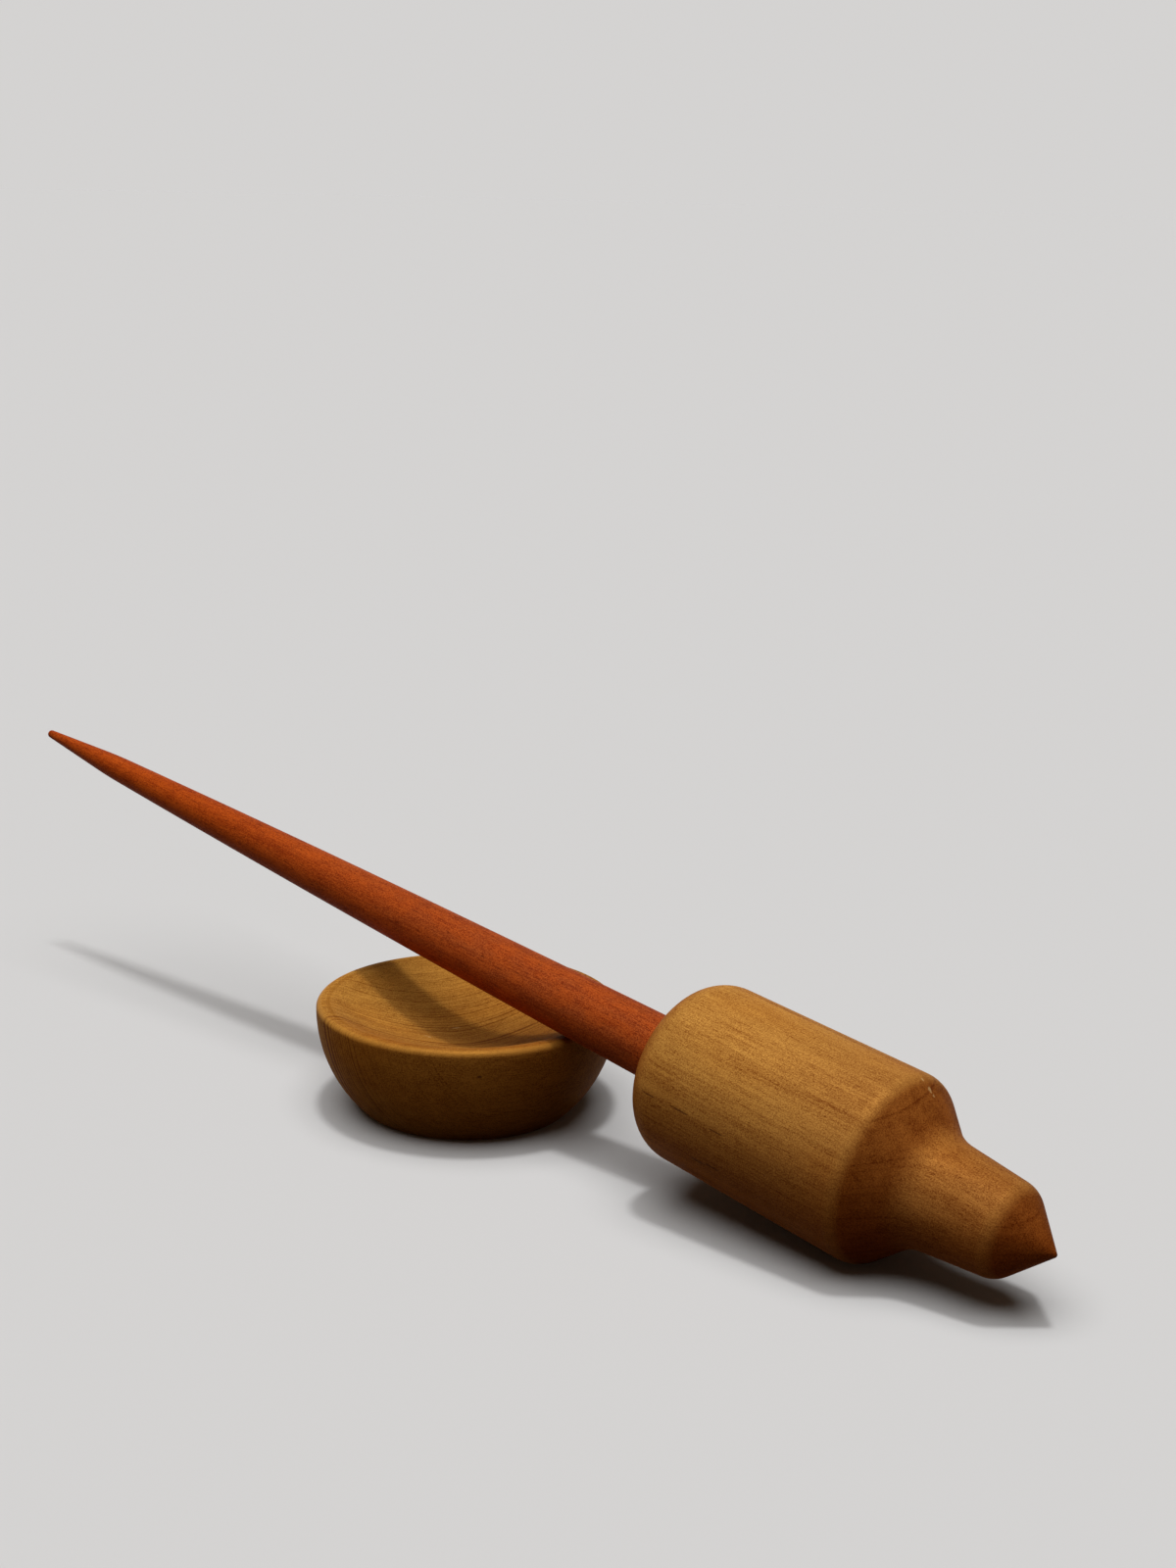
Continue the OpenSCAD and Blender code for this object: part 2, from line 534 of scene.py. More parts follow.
@dataclass(frozen=True)
class Layer:
    """One layer of a wood's figure: soft patches that are long with the grain.

    Attributes:
        across: Width of a patch in millimetres.
        along: Length of a patch in millimetres.
        detail: Number of finer layers in it.
        shift: Moves the pattern, so that two of one size differ.
        edges: Levels at which a patch begins and is full, where it has edges.
        shade: How much it darkens the wood.
        relief: How much it stands up from the surface.
        dull: How much it roughens the oil.
    """

    across: float
    along: float
    detail: float = 2.0
    shift: float = 0.0
    edges: tuple[float, float] | None = None
    shade: float = 0.0
    relief: float = 0.0
    dull: float = 0.0


@dataclass(frozen=True)
class Oil:
    """The thin oil on a wood, which leaves its grain open.

    Attributes:
        lustre: Share of the light that the fibres under it throw back in the wood's own colour.
        gloss: Level of plain reflection, where 0.5 is bare varnish.
        tint: Colour of what it reflects straight on.
        roughness: How dull it is.
        relief: Depth in metres of the grain under it.
    """

    lustre: float
    gloss: float
    tint: Colour
    roughness: float
    relief: float


@dataclass(frozen=True)
class PaleWood:
    """Honey-coloured fruit wood with fine, quiet grain under oil.

    Attributes:
        light: Colour between the rings.
        deep: Colour of the rings' late edges and of dark fibres.
        shade: Share of the deep colour in plain wood.
        bands: Long soft bands.
        fibres: Fine fibres.
        silk: Short silky flakes.
        speckle: Fine cells, as the oil shows them.
        pores: Fine open pores.
        turning: Patches in which the sandpaper's lines are left.
        clouds: Warmer patches.
        warm: Tint of the warmer patches.
        warm_share: Share of that tint in them.
        redder_wood_and_shade_tint: Tint that darkens and reddens the wood by its distance from the pith. On the
            whorl it is painted shade on its lower side; on the bowl it is redder wood away from the pith,
            strengthened as painted shade over the dish's right part.
        redder_wood_and_shade_from: Distance from the pith where that tint begins, in millimetres.
        redder_wood_and_shade_to: Distance from the pith where it is full, in millimetres.
        dark_end_and_shade_tint: Tint that makes the wood darker towards one end of the grain: the whorl's nose
            end, and on the bowl painted shade over the far side of the dish.
        dark_end_from: Place along the grain where that tint is full, in millimetres.
        dark_end_to: Place along the grain where it ends, in millimetres.
        end_tint: Tint of end grain, which takes more oil.
        end_from: How far a face turns to the end grain before it takes the tint, from 0 to 1.
        end_to: How far it turns before it takes all of it.
        end_dull: How much duller end grain is.
        polish_and_highlight: How much of the light colour a worn edge takes; on the bowl's rim this also paints
            a
        highlight on the lip.
        worn_gloss: How much glossier a worn edge is.
        gum: Colour of the dark gum streaks.
        gum_share: Share of that colour in a streak.
        gum_depth: How deep a streak lies.
        bruise: Colour of the pale nicks.
        bruise_share: Share of that colour in a nick.
        nick_depth: How deep a nick is.
        ring_gap: Usual width of a ring in millimetres.
        ring_depth: Darkness of the rings' late edges.
        ring_mean: Average of the rings, which leaves the shade as it is.
        wander: How far the rings stray, in millimetres.
        oil: The oil on it.
    """

    light: Colour = (0.63, 0.308, 0.063)
    deep: Colour = (0.23, 0.065, 0.008)
    shade: float = 0.47
    bands: Layer = Layer(2.8, 110.0, shift=13.0, shade=0.8)
    fibres: Layer = Layer(0.3, 12.0, shade=0.8, relief=0.3)
    silk: Layer = Layer(1.5, 4.5, shift=5.0, shade=0.35)
    speckle: Layer = Layer(0.2, 0.26, detail=1.0, shift=7.0, shade=1.85, relief=0.35, dull=0.2)
    pores: Layer = Layer(
        0.2, 1.8, detail=1.0, shift=3.0, edges=(0.56, 0.72), shade=0.2, relief=-0.3, dull=0.08
    )
    turning: Layer = Layer(5.0, 7.0, shift=17.0, edges=(0.35, 0.6), shade=0.4, relief=0.3)
    clouds: Layer = Layer(16.0, 40.0, shift=11.0, edges=(0.4, 0.7))
    warm: Colour = (1.0, 0.90, 0.75)
    warm_share: float = 0.8
    # Painted shade: the tint by distance from the pith darkens and reddens the whorl's lower side.
    redder_wood_and_shade_tint: Colour = (0.72, 0.52, 0.42)
    redder_wood_and_shade_from: float = 80.0
    redder_wood_and_shade_to: float = 52.0
    # Darker towards one end of the grain; on the bowl this is painted shade over the far side of the dish.
    dark_end_and_shade_tint: Colour = (0.72, 0.63, 0.66)
    dark_end_from: float = 14.0
    dark_end_to: float = 76.0
    end_tint: Colour = (0.68, 0.46, 0.32)
    end_from: float = 0.2
    end_to: float = 0.8
    end_dull: float = 0.06
    polish_and_highlight: float = 0.2
    worn_gloss: float = 0.1
    gum: Colour = (0.085, 0.024, 0.007)
    gum_share: float = 0.7
    gum_depth: float = 0.3
    bruise: Colour = (0.66, 0.42, 0.17)
    bruise_share: float = 0.55
    nick_depth: float = 1.0
    ring_gap: float = 1.3
    ring_depth: float = 0.2
    ring_mean: float = 0.15
    wander: float = 2.0
    oil: Oil = Oil(lustre=0.07, gloss=0.015, tint=(1.0, 0.78, 0.40), roughness=0.5, relief=0.05 * MM)

    def material(
        self, name: str, grain: GrainLie, streaks: Sequence[Mark] = (), nicks: Sequence[Mark] = ()
    ) -> bpy.types.Material:
        """Makes the wood for one piece.

        Args:
            name: The material's name.
            grain: How the grain lies in the piece.
            streaks: Dark gum streaks in it.
            nicks: Pale nicks in its surface.

        Returns:
            The material.
        """
        wood = WoodGraph(name, grain)
        figure = (self.bands, self.fibres, self.silk, self.speckle, self.pores)
        shade, height, roughness = wood.lay(self.shade, self.oil.roughness, figure, self.turning)
        rings = wood.rings(grain, self.ring_gap, self.wander)
        end = wood.step(wood.trait(Trait.END_GRAIN), self.end_from, self.end_to)
        wear = wood.trait(Trait.WEAR)
        dark_lines = -1.0 * wear

        shade = shade + self.ring_depth * (1 + end) * (rings - self.ring_mean)
        roughness = roughness + self.end_dull * end - self.worn_gloss * wear
        colour = wood.blend(shade, self.light, self.deep)
        for factor, tint in (
            # Painted shade: darker, redder wood by distance from the pith, on the whorl's lower side and the
            # bowl's dish.
            (wood.step(wood.from_pith(grain), self.redder_wood_and_shade_from, self.redder_wood_and_shade_to), self.redder_wood_and_shade_tint),
            # Darker towards one end of the grain: the whorl's nose end, and painted shade over the bowl's far
            # dish.
            (wood.step(wood.along(), self.dark_end_to, self.dark_end_from), self.dark_end_and_shade_tint),
            (self.warm_share * wood.patches(self.clouds), self.warm),
            (end, self.end_tint),
        ):
            colour = wood.tint(factor, colour, tint)
        # Worn edges take the light colour; on the bowl's rim this also paints a highlight.
        colour = wood.blend(self.polish_and_highlight * wear, colour, self.light)
        # Points with wear below 0 are made darker: a line round the bowl's lip and the whorl's bore mouth.
        colour = wood.tint(dark_lines, colour, self.end_tint)
        for marks, share, dye, depth in (
            (streaks, self.gum_share, self.gum, self.gum_depth),
            (nicks, self.bruise_share, self.bruise, self.nick_depth),
        ):
            for mark in marks:
                inside = wood.mark(mark)
                colour = wood.blend(share * inside, colour, dye)
                height = height - depth * inside
        return wood.finish(colour, roughness, height, self.oil)


@dataclass(frozen=True)
class RedWood:
    """Brick-red tropical wood with streaks of orange and fine open pores under oil.

    Attributes:
        light: Colour of the orange streaks.
        deep: Colour of the red streaks.
        shade: Share of the deep colour in plain wood.
        bands: Long soft bands.
        blotches: Short blotches.
        fibres: Fine fibres.
        speckle: Fine cells, as the oil shows them.
        pores: Fine open pores.
        turning: Patches in which the sandpaper's lines are left.
        pore: Colour in the open pores.
        pore_share: Share of that colour in a pore.
        rose_and_sheen: Tint of the pink clouds in the near half, which also paint the pinkish sheen there.
        rose_and_sheen_edges: Levels of the blotches at which a pink cloud begins and is full.
        far_tint: Tint towards the far end, where the stick is more orange.
        far_start: Place along the grain where that tint begins, in millimetres.
        far_end: Place along the grain where it is full, in millimetres.
        oil: The oil on it.
    """

    light: Colour = (0.46, 0.088, 0.014)
    deep: Colour = (0.21, 0.025, 0.004)
    shade: float = 0.5
    bands: Layer = Layer(1.9, 90.0, shade=0.7)
    blotches: Layer = Layer(2.6, 6.5, shift=6.0, shade=0.9)
    fibres: Layer = Layer(0.35, 8.0, detail=3.0, shift=5.0, shade=1.3, relief=0.3)
    speckle: Layer = Layer(0.2, 0.3, detail=1.0, shift=9.0, shade=2.8, relief=0.35, dull=0.2)
    pores: Layer = Layer(0.22, 1.9, shift=2.0, edges=(0.58, 0.71), relief=-0.4, dull=0.12)
    turning: Layer = Layer(5.0, 7.0, shift=17.0, edges=(0.35, 0.6), shade=0.4, relief=0.2)
    pore: Colour = (0.080, 0.010, 0.003)
    pore_share: float = 0.55
    # Pink clouds in the near half that also paint the shaft's pinkish sheen.
    rose_and_sheen: Colour = (0.97, 1.08, 1.35)
    rose_and_sheen_edges: tuple[float, float] = (0.4, 0.65)
    far_tint: Colour = (1.10, 0.95, 0.52)
    far_start: float = 120.0
    far_end: float = 260.0
    oil: Oil = Oil(lustre=0.07, gloss=0.02, tint=(1.0, 0.6, 0.35), roughness=0.5, relief=0.05 * MM)

    def material(self, name: str, grain: GrainLie) -> bpy.types.Material:
        """Makes the wood for one piece.

        Args:
            name: The material's name.
            grain: How the grain lies in the piece.

        Returns:
            The material.
        """
        wood = WoodGraph(name, grain)
        figure = (self.bands, self.blotches, self.fibres, self.speckle, self.pores)
        shade, height, roughness = wood.lay(self.shade, self.oil.roughness, figure, self.turning)
        far = wood.step(wood.along(), self.far_start, self.far_end)
        # Pink clouds in the near half, which also paint the pinkish sheen there.
        rosy_sheen = (1 - far) * wood.step(wood.noise(self.blotches), *self.rose_and_sheen_edges)

        colour = wood.blend(shade, self.light, self.deep)
        colour = wood.blend(self.pore_share * wood.patches(self.pores), colour, self.pore)
        colour = wood.tint(rosy_sheen, colour, self.rose_and_sheen)
        colour = wood.tint(far, colour, self.far_tint)
        return wood.finish(colour, roughness, height, self.oil)


class Outline:
    """Half section of a turned piece: points of radius and place along its axis, in metres.

    Wear is how much hands have polished a point, about 1 on a worn edge; the bowl's rim has more, which also
    paints a highlight on its lip. Below 0, it is how much darker the point is made.

    Attributes:
        ARC_STEP: Widest angle between neighbouring points of an arc.
        SAME: Distance within which two points are one.
    """

    ARC_STEP = math.radians(9)
    SAME = 1e-7

    def __init__(self, row_gap: float) -> None:
        """Starts an empty outline.

        Args:
            row_gap: Longest distance between neighbouring points.
        """
        self.row_gap = row_gap
        self.points: list[Vector] = []
        self.wear: list[float] = []

    def line_to(self, *point: float, wear: float = 0.0) -> None:
        """Adds a straight run to a point, with as many points on it as the row gap asks.

        Args:
            point: Radius and place along the axis.
            wear: Wear of its end.
        """
        end = Vector(point)
        if not self.points:
            self._add(end, 0.0)
            return
        start = self.points[-1]
        count = math.ceil((end - start).length / self.row_gap)
        for step in range(1, count + 1):
            self._add(start.lerp(end, step / count), wear if step == count else 0.0)

    def arc(self, centre: Vector, radius: float, first: float, last: float, wear: float = 0.0) -> None:
        """Adds a straight run to an arc, and the arc.

        Args:
            centre: Middle of the arc.
            radius: Its radius.
            first: Angle at which it starts.
            last: Angle at which it ends.
            wear: Wear of its middle.
        """
        self.line_to(*self._on_arc(centre, radius, first))
        count = math.ceil(abs(last - first) / min(self.ARC_STEP, self.row_gap / radius))
        for step in range(1, count + 1):
            share = step / count
            point = self._on_arc(centre, radius, first + (last - first) * share)
            self._add(point, wear * math.sin(math.pi * share))

    def corner(self, before: Vector, edge: Vector, after: Vector, radius: float, wear: float = 0.0) -> None:
        """Adds the rounding of a corner on the path from before, by edge, to after.

        Args:
            before: Point before the corner.
            edge: The sharp corner.
            after: Point after the corner.
            radius: Radius of the rounding.
            wear: Wear of its middle.
        """
        along = (edge - before).normalized()
        onward = (after - edge).normalized()
        side = math.copysign(1.0, along.x * onward.y - along.y * onward.x)
        turn = along.angle(onward)
        start = edge - along * radius * math.tan(turn / 2)
        centre = start + side * radius * Vector((-along.y, along.x))
        first = math.atan2(-side * along.x, side * along.y)
        self.arc(centre, radius, first, first + side * turn, wear)

    def runs(self) -> list[float]:
        """Distance along the outline at each of its points, in millimetres."""
        total = 0.0
        found = [total]
        for before, after in zip(self.points, self.points[1:]):
            total += (after - before).length / MM
            found.append(total)
        return found

    def drawn_in(self, depth: float) -> list[Vector]:
        """The outline's points, moved into the wood so that a round skin stays inside its solid.

        Args:
            depth: How far they move, in metres.

        Returns:
            The points.
        """
        last = len(self.points) - 1
        moved = []
        for index, point in enumerate(self.points):
            along = (self.points[min(index + 1, last)] - self.points[max(index - 1, 0)]).normalized()
            inside = point + depth * Vector((-along.y, along.x))
            moved.append(Vector((inside.x if point.x else 0.0, inside.y)))
        return moved

    @staticmethod
    def _on_arc(centre: Vector, radius: float, angle: float) -> Vector:
        """A point on an arc."""
        return centre + radius * Vector((math.cos(angle), math.sin(angle)))

    def _add(self, point: Vector, wear: float) -> None:
        """Adds one point, unless the last one is already there."""
        if self.points and (point - self.points[-1]).length < self.SAME:
            self.wear[-1] = max(self.wear[-1], wear)
            return
        self.points.append(point)
        self.wear.append(wear)


class Lathe:
    """Geometry Nodes tree that turns an outline round +Z and sets the result in its place.

    Attributes:
        SEAM: Distance in metres within which points at a seam or pole are joined.
        SKIN: Depth in metres by which a piece stays inside its solid.
        SHARP: Angle from which an edge stays sharp.
        MIDDLE: Half of the grid's side, which is 1 and has its middle at 0.
    """

    SEAM = 0.0005 * MM
    SKIN = 0.012 * MM
    SHARP = math.radians(30)
    MIDDLE = 0.5

    def __init__(self) -> None:
        """Builds the tree."""
        self.tree = bpy.data.node_groups.new("lathe", "GeometryNodeTree")
        self.inputs: dict[str, str] = {}
        for name, kind in {
            "Outline": "NodeSocketGeometry",
            "Facets": "NodeSocketInt",
            "Grain": "NodeSocketVector",
            "Place": "NodeSocketVector",
            "Turn": "NodeSocketVector",
            "Finish": "NodeSocketMaterial",
        }.items():
            made = self.tree.interface.new_socket(name=name, in_out="INPUT", socket_type=kind)
            self.inputs[name] = made.identifier
        self.tree.interface.new_socket(name="Piece", in_out="OUTPUT", socket_type="NodeSocketGeometry")
        self._fill(Graph(self.tree))

    def _fill(self, graph: Graph) -> None:
        """Adds the nodes: a grid whose rows follow the outline and whose columns go round the axis.

        Args:
            graph: The tree's graph.
        """
        given = graph.node("NodeGroupInput")
        outline = given.out("Outline")
        points = graph.node("GeometryNodeAttributeDomainSize", {"component": "MESH"}, {"Geometry": outline})
        grid = graph.node(
            "GeometryNodeMeshGrid",
            None,
            {"Size X": 1.0, "Size Y": 1.0, "Vertices X": points, "Vertices Y": given.out("Facets") + 1},
        )
        x, y, _ = graph.split(graph.node("GeometryNodeInputPosition"))
        row = graph.math("ROUND", (x + self.MIDDLE) * (points - 1))
        angle = (y + self.MIDDLE) * math.tau
        place = graph.node("GeometryNodeInputPosition")
        radius, _, along = graph.split(self._sample(graph, outline, place, row, "FLOAT_VECTOR"))
        turned = graph.node(
            "ShaderNodeCombineXYZ",
            None,
            [radius * graph.math("COSINE", angle), radius * graph.math("SINE", angle), along],
        )
        shape = grid
        for trait in (Trait.WEAR, Trait.RUN):
            own = graph.node("GeometryNodeInputNamedAttribute", {"data_type": "FLOAT"}, {"Name": trait.value})
            shape = self._store(graph, shape, trait, self._sample(graph, outline, own, row, "FLOAT"))
        shape = graph.node("GeometryNodeSetPosition", None, {"Geometry": shape, "Position": turned})
        shape = graph.node("GeometryNodeMergeByDistance", None, {"Geometry": shape, "Distance": self.SEAM})
        facing = graph.vector("DOT_PRODUCT", graph.node("GeometryNodeInputNormal"), given.out("Grain"))
        shape = self._store(graph, shape, Trait.END_GRAIN, graph.math("ABSOLUTE", facing.out("Value")))
        shape = graph.node("GeometryNodeSetShadeSmooth", None, {"Geometry": shape})
        shape = graph.node(
            "GeometryNodeTransform",
            None,
            {
                "Geometry": shape,
                "Translation": given.out("Place"),
                "Rotation": graph.node("FunctionNodeEulerToRotation", None, [given.out("Turn")]),
            },
        )
        shape = graph.node("GeometryNodeRealizeInstances", None, {"Geometry": shape})
        dressed = {"Geometry": shape, "Material": given.out("Finish")}
        graph.node("NodeGroupOutput", None, [graph.node("GeometryNodeSetMaterial", None, dressed)])

    @staticmethod
    def _sample(graph: Graph, outline: Socket, value: Socket, row: Socket, kind: str) -> Socket:
        """Reads a value of the outline's point for each row.

        Args:
            graph: The tree's graph.
            outline: Geometry of the outline.
            value: What is read.
            row: Number of the outline's point.
            kind: Blender's name for the value's type.

        Returns:
            The value.
        """
        return graph.node(
            "GeometryNodeSampleIndex",
            {"data_type": kind, "domain": "POINT"},
            {"Geometry": outline, "Value": value, "Index": row},
        )

    @staticmethod
    def _store(graph: Graph, shape: Socket, trait: Trait, value: Socket) -> Socket:
        """Stores a number on every point of the shape."""
        return graph.node(
            "GeometryNodeStoreNamedAttribute",
            {"data_type": "FLOAT", "domain": "POINT"},
            {"Geometry": shape, "Name": trait.value, "Value": value},
        )

    def turn(
        self,
        name: str,
        outline: Outline,
        facets: int,
        grain: Vector,
        place: Matrix,
        finish: bpy.types.Material,
    ) -> bpy.types.Object:
        """Turns one piece.

        Args:
            name: The piece's name.
            outline: Its half section.
            facets: Number of faces round it.
            grain: Way of its fibres before it is placed.
            place: Where the outline's start and axis go.
            finish: Its material.

        Returns:
            The piece as a plain mesh, with its place in the mesh.
        """
        section = bpy.data.meshes.new(name + "_outline")
        section.from_pydata([(point.x, 0.0, point.y) for point in outline.drawn_in(self.SKIN)], [], [])
        for trait, values in {Trait.WEAR: outline.wear, Trait.RUN: outline.runs()}.items():
            section.attributes.new(trait.value, "FLOAT", "POINT").data.foreach_set("value", values)
        host = bpy.data.objects.new(section.name, section)
        bpy.context.scene.collection.objects.link(host)
        modifier = host.modifiers.new("lathe", "NODES")
        modifier.node_group = self.tree
        for label, value in {
            "Facets": facets,
            "Grain": grain,
            "Place": place.to_translation(),
            "Turn": place.to_euler(),
            "Finish": finish,
        }.items():
            modifier[self.inputs[label]] = value
        depsgraph = bpy.context.evaluated_depsgraph_get()
        mesh = bpy.data.meshes.new_from_object(host.evaluated_get(depsgraph))
        host.modifiers.remove(modifier)
        bpy.data.objects.remove(host)
        self._close(mesh)
        piece = bpy.data.objects.new(name, mesh)
        bpy.context.scene.collection.objects.link(piece)
        return piece

    def _close(self, mesh: bpy.types.Mesh) -> None:
        """Closes seams and poles, points the faces outwards and keeps the sharp edges sharp."""
        shell = bmesh.new()
        shell.from_mesh(mesh)
        bmesh.ops.remove_doubles(shell, verts=shell.verts, dist=self.SEAM)
        bmesh.ops.recalc_face_normals(shell, faces=shell.faces)
        shell.to_mesh(mesh)
        shell.free()
        mesh.set_sharp_from_angle(angle=self.SHARP)


@dataclass
class Spindle:
    """Tapered stick glued into a turned whorl with a pointed nose. Lengths run from the nose's sharp point.

    Attributes:
        axis: Place of the nose's sharp point, with +Z up the stick.
        point_blend: Radius of the soft bend between the taper and the point.
        blend_reach: Room that is kept for that bend, as a share of its tangent.
        taper_runs: Number of straight runs in the taper.
        round_share: Rounding of the tip, as a share of its radius.
        row_gap: Longest distance between rows of the whorl.
        shaft_row_gap: Longest distance between rows of the shaft.
        whorl_facets: Number of faces round the whorl.
        shaft_facets: Number of faces round the shaft.
    """

    axis: Matrix
    shaft_length: float = 208 * MM
    shaft_d: float = 13.2 * MM
    shaft_middle_d: float = 10.4 * MM
    shaft_point_d: float = 5.6 * MM
    shaft_point_length: float = 26 * MM
    shaft_tip_d: float = 1.8 * MM
    point_blend: float = 200 * MM
    blend_reach: float = 1.5
    tenon_length: float = 30 * MM
    tenon_chamfer: float = 1 * MM
    whorl_d: float = 36.9 * MM
    whorl_back_d: float = 35.6 * MM
    whorl_length: float = 51.2 * MM
    back_round: float = 7.8 * MM
    shoulder_length: float = 8.7 * MM
    shoulder_round: float = 4.8 * MM
    mouth_bevel: float = 0.3 * MM
    neck_d: float = 21.2 * MM
    neck_front_d: float = 17.8 * MM
    neck_length: float = 17.1 * MM
    neck_fillet: float = 9.4 * MM
    nose_length: float = 9.2 * MM
    nose_edge_round: float = 5.3 * MM
    nose_point_round: float = 0.6 * MM
    glue_gap: float = 0.05 * MM
    glue_pocket: float = 0.8 * MM
    taper_runs: int = 96
    round_share: float = 0.95
    row_gap: float = 0.6 * MM
    shaft_row_gap: float = 1.2 * MM
    whorl_facets: int = 256
    shaft_facets: int = 96

    @classmethod
    def on_joint(cls, joint: Mapping[str, Sequence[float]]) -> Spindle:
        """A spindle that lies on the axis of a joint.

        Args:
            joint: The record's hinge, at the nose's sharp point and pointing up the stick.

        Returns:
            The spindle.
        """
        way = Vector(joint["axis"]).normalized()
        lean = math.asin(way.z)
        turn = Matrix.Rotation(lean - math.pi / 2, 4, "Y")
        return cls(Matrix.Translation(joint["pos_m"]) @ turn)

    @property
    def barrel_front(self) -> float:
        """Place along the axis where the shoulder meets the barrel."""
        return self.nose_length + self.neck_length + self.shoulder_length

    @property
    def barrel_back(self) -> float:
        """Place along the axis where the barrel ends and the shaft comes out."""
        return self.barrel_front + self.whorl_length

    def shaft_radius(self, distance: float) -> float:
        """Radius of the shaft at a distance from the whorl: a parabola through its three diameters.

        Args:
            distance: Distance from the whorl.

        Returns:
            The radius.
        """
        share = distance / (self.shaft_length - self.shaft_point_length)
        return (
            self.shaft_d / 2 * (1 - share) * (1 - 2 * share)
            + self.shaft_middle_d / 2 * 4 * share * (1 - share)
            + self.shaft_point_d / 2 * share * (2 * share - 1)
        )

    def shaft_outline(self) -> Outline:
        """Outline of the shaft, from the end of its tenon to its tip."""
        tenon_end = self.barrel_back - self.tenon_length
        taper_length = self.shaft_length - self.shaft_point_length
        shaft_end = self.barrel_back + self.shaft_length
        distances = [taper_length * run / self.taper_runs for run in range(self.taper_runs + 1)]
        taper = [Vector((self.shaft_radius(d), self.barrel_back + d)) for d in distances]
        tip_edge = Vector((self.shaft_tip_d / 2, shaft_end))
        tip_middle = Vector((0, shaft_end))
        outline = Outline(self.shaft_row_gap)
        outline.line_to(0, tenon_end)
        outline.line_to(self.shaft_d / 2 - self.tenon_chamfer, tenon_end)
        outline.line_to(self.shaft_d / 2, tenon_end + self.tenon_chamfer)
        before_blend = [point for point in taper if point.y < taper[-1].y - self.blend_room(taper, tip_edge)]
        for point in before_blend:
            outline.line_to(*point)
        outline.corner(before_blend[-1], taper[-1], tip_edge, self.point_blend)
        outline.corner(taper[-1], tip_edge, tip_middle, self.round_share * self.shaft_tip_d / 2)
        outline.line_to(*tip_middle)
        return outline

    def blend_room(self, taper: Sequence[Vector], tip_edge: Vector) -> float:
        """Length that the soft bend before the point takes from the taper."""
        bend = (taper[-1] - taper[-2]).angle(tip_edge - taper[-1])
        return self.blend_reach * self.point_blend * math.tan(bend / 2)

    def whorl_outline(self) -> Outline:
        """Outline of the whorl, from its nose round its back to the end of its bore."""
        nose_point = Vector((0, 0))
        nose_edge = Vector((self.neck_front_d / 2, self.nose_length))
        neck_root = Vector((self.neck_d / 2, self.nose_length + self.neck_length))
        shoulder_edge = Vector((self.whorl_d / 2, self.barrel_front))
        back_edge = Vector((self.whorl_back_d / 2, self.barrel_back))
        back_middle = Vector((0, self.barrel_back))
        half_angle = math.atan2(nose_edge.x, nose_edge.y)
        ball = Vector((0, self.nose_point_round / math.sin(half_angle)))
        bore = self.shaft_d / 2 + self.glue_gap
        bore_end = self.barrel_back - self.tenon_length - self.glue_pocket
        outline = Outline(self.row_gap)
        outline.arc(ball, self.nose_point_round, -math.pi / 2, -half_angle)
        outline.corner(nose_point, nose_edge, neck_root, self.nose_edge_round, wear=0.5)
        outline.corner(nose_edge, neck_root, shoulder_edge, self.neck_fillet)
        outline.corner(neck_root, shoulder_edge, back_edge, self.shoulder_round, wear=0.6)
        outline.corner(shoulder_edge, back_edge, back_middle, self.back_round, wear=0.6)
        # Wear below 0 makes the bore's mouth darker.
        outline.line_to(bore + self.mouth_bevel, self.barrel_back, wear=-1.0)
        outline.line_to(bore, self.barrel_back - self.mouth_bevel, wear=-1.0)
        outline.line_to(bore, bore_end)
        outline.line_to(0, bore_end)
        return outline

    def build(self, lathe: Lathe, shaft_wood: RedWood, whorl_wood: PaleWood) -> list[bpy.types.Object]:
        """Turns the shaft and the whorl, dresses them and sets them on the spindle's body.

        Args:
            lathe: The lathe.
            shaft_wood: Wood of the shaft.
            whorl_wood: Wood of the whorl.

        Returns:
            The two pieces.
        """
        nose = self.axis.to_translation()
        turn = self.axis.to_euler()
        up_the_stick = Vector((0, 0, 1))
        shaft_finish = shaft_wood.material("red_wood", GrainLie(nose, turn, pith=(-30.0, 12.0)))
        shaft = lathe.turn(
            "turned_shaft", self.shaft_outline(), self.shaft_facets, up_the_stick, self.axis, shaft_finish
        )
        streaks = [
            Mark.on_round(along_axis=77.9, angle=-86.2, radius=17.75, width=0.45, length=6.4),
            Mark.on_round(along_axis=70.8, angle=-85.7, radius=17.98, width=0.45, length=5.4),
            Mark.on_round(along_axis=65.8, angle=-113.8, radius=18.03, width=0.6, length=4.4),
            Mark.on_round(along_axis=62.3, angle=-112.1, radius=18.08, width=0.6, length=4.4),
            Mark.on_round(along_axis=61.8, angle=-86.9, radius=18.06, width=0.4, length=4.6),
        ]
        nicks = [
            Mark.on_round(along_axis=34.5, angle=11.2, radius=17.85, width=0.6, length=1.6),
            Mark.on_round(along_axis=32.9, angle=13.3, radius=16.55, width=1.1, length=1.9),
            Mark.on_round(along_axis=32.1, angle=14.5, radius=15.75, width=0.6, length=1.2),
        ]
        # This pith also places the painted shade on the whorl's lower side.
        grain = GrainLie(nose, turn, pith=(-64.0, 6.0))
        whorl_finish = whorl_wood.material("pale_wood_whorl", grain, streaks, nicks)
        whorl = lathe.turn(
            "turned_whorl", self.whorl_outline(), self.whorl_facets, up_the_stick, self.axis, whorl_finish
        )
        settle(shaft, Body.SPINDLE, "shaft")
        settle(whorl, Body.SPINDLE, "whorl")
        return [shaft, whorl]


